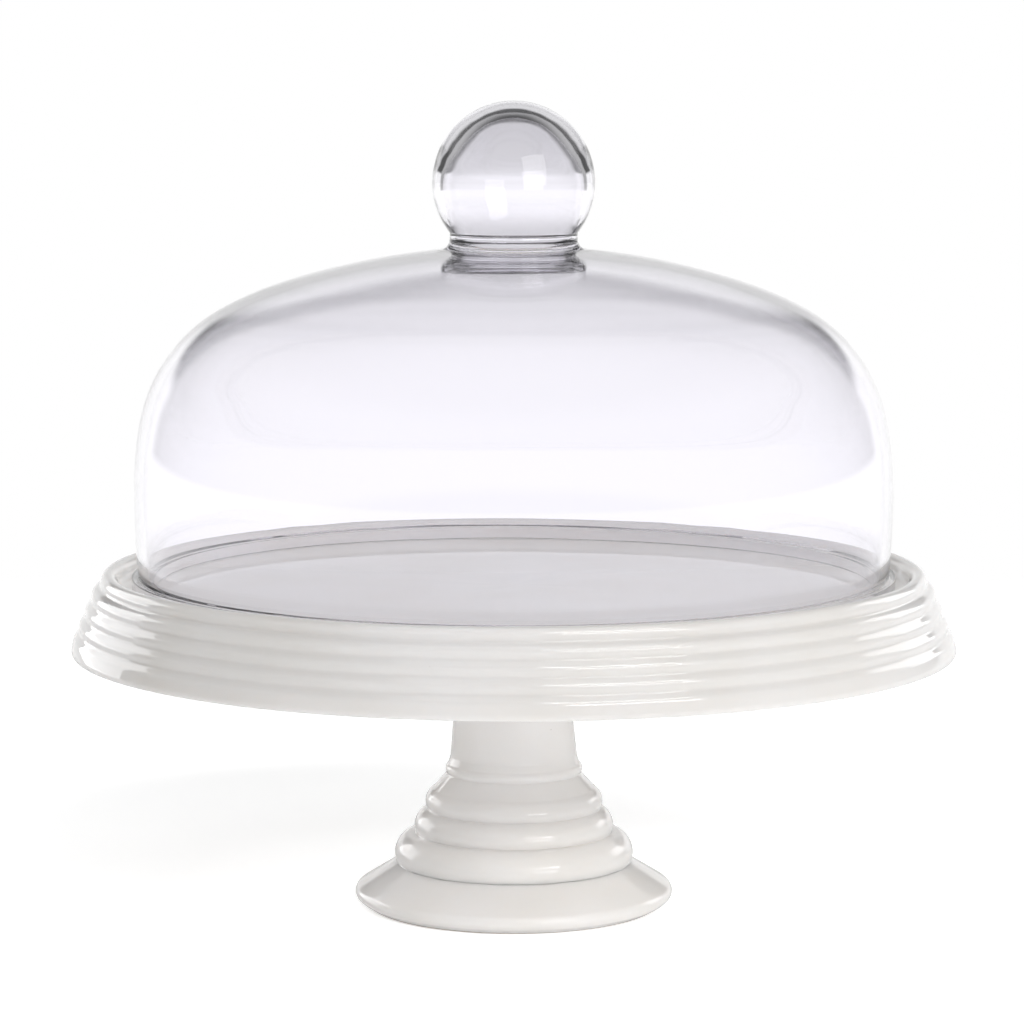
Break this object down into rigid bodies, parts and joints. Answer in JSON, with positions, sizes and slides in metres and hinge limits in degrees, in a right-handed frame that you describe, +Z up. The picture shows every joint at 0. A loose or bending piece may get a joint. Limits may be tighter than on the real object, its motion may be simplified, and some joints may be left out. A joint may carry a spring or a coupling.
{
  "type": "footed cake stand with glass dome",
  "caption": "Footed ceramic cake stand with a ribbed skirt and beaded hollow pedestal, and a clear glass dome with a ball knob that lifts off the plate.",
  "frame": {"origin": "centre of the foot's underside, on the surface that the stand rests on", "axes": "+Z up along the axis of revolution"},
  "size_m": [0.32, 0.32, 0.2914],
  "materials": {
    "glazed_ceramic": "glossy white glaze",
    "fired_slip": "matt unglazed",
    "clear_glass": "clear polished"
  },
  "bodies": {
    "stand": {"plate": "glazed_ceramic", "pedestal": "glazed_ceramic", "slip_joint": "fired_slip"},
    "cover": {"dome": "clear_glass", "knob_collar": "clear_glass", "knob": "clear_glass"}
  },
  "joints": [
    {"name": "cover_lift", "type": "slide", "parent": "stand", "child": "cover", "axis": [0, 0, 1], "range_m": [0, 0.2]}
  ]
}
